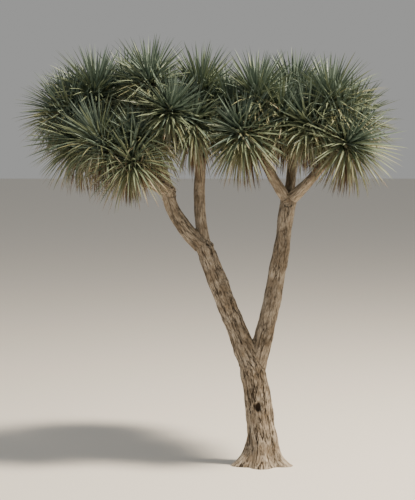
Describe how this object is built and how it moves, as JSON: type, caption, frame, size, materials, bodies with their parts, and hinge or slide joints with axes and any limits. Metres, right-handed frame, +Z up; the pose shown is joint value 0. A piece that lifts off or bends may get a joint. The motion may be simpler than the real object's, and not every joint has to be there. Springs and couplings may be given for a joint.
{
  "type": "dragon tree",
  "caption": "Forked dragon tree with a flared trunk, bare leaning stems and a flat-topped crown of round heads of stiff, sword-shaped grey-green leaves.",
  "frame": {"origin": "middle of the flat cut under the trunk, at ground level", "axes": "+Z is up, the front view looks along +Y, and +X is to the right in it, towards the upright stem"},
  "size_m": [4.0219, 2.3383, 4.4234],
  "materials": {
    "bark": "dry, fissured grey-beige bark",
    "leaves": "waxy grey-green leaves with paler undersides"
  },
  "bodies": {
    "root": {"trunk": "bark", "left_stem": "bark", "left_high_stem": "bark", "right_stem": "bark", "bough_left_front": "bark", "bough_left_outer": "bark", "bough_left_back": "bark", "bough_left_top": "bark", "bough_middle": "bark", "bough_right_inner": "bark", "bough_right_back": "bark", "bough_right_outer": "bark", "leaves_left_front": "leaves", "leaves_left_outer": "leaves", "leaves_left_back": "leaves", "leaves_left_top": "leaves", "leaves_middle": "leaves", "leaves_right_inner": "leaves", "leaves_right_back": "leaves", "leaves_right_outer": "leaves"}
  },
  "joints": []
}
